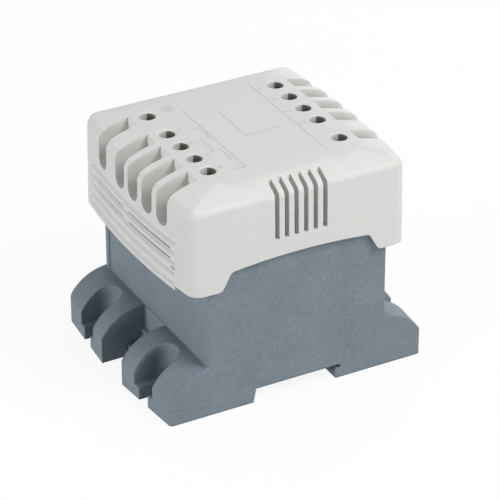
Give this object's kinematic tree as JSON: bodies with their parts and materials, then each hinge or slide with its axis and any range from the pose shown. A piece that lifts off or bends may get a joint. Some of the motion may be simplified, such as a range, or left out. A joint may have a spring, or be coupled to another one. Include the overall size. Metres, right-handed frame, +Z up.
{
  "type": "control transformer",
  "caption": "Enclosed control transformer with slotted feet, a sprung rail latch, a vented grey cover, and rows of wire slots with screw clamps at both ends",
  "frame": {"origin": "middle of the footprint, on the plane that the feet stand on", "axes": "X from foot to foot across the mounting rail, Y along the mounting rail, Z up"},
  "size_m": [0.1112, 0.0894, 0.0902],
  "materials": {
    "base": "fine matte moulded texture",
    "cover": "satin moulded",
    "rail_latch": "matte moulded",
    "latch_spring": "plain",
    "core": "varnished sheet edges",
    "coil_former": "moulded",
    "winding": "enamelled copper wire",
    "tape": "plain tape",
    "carrier": "moulded",
    "contact": "plain",
    "terminal": "zinc plated"
  },
  "bodies": {
    "housing": {"base": "base", "coil_former": "coil_former", "core_e_stack": "core", "core_i_stack": "core", "cover": "cover", "earth_strap": "contact", "latch_spring": "latch_spring", "primary_bar_1": "contact", "primary_bar_2": "contact", "primary_bar_3": "contact", "primary_bar_4": "contact", "primary_bar_5": "contact", "primary_carrier": "carrier", "primary_clamp_1": "terminal", "primary_clamp_2": "terminal", "primary_clamp_3": "terminal", "primary_clamp_4": "terminal", "primary_clamp_5": "terminal", "primary_winding": "winding", "primary_wrap": "tape", "secondary_bar_2": "contact", "secondary_bar_3": "contact", "secondary_bar_4": "contact", "secondary_bar_5": "contact", "secondary_carrier": "carrier", "secondary_clamp_1": "terminal", "secondary_clamp_2": "terminal", "secondary_clamp_3": "terminal", "secondary_clamp_4": "terminal", "secondary_clamp_5": "terminal", "secondary_winding": "winding", "secondary_wrap": "tape", "terminal_screws": "terminal"},
    "rail_latch": {"rail_latch": "rail_latch"}
  },
  "joints": [
    {"name": "latch_slide", "type": "slide", "parent": "housing", "child": "rail_latch", "axis": [-1, 0, 0], "range_m": [0, 0.004], "stiffness_N_per_m": 2000, "springref_m": -0.003, "deforming": ["latch_spring"]}
  ]
}
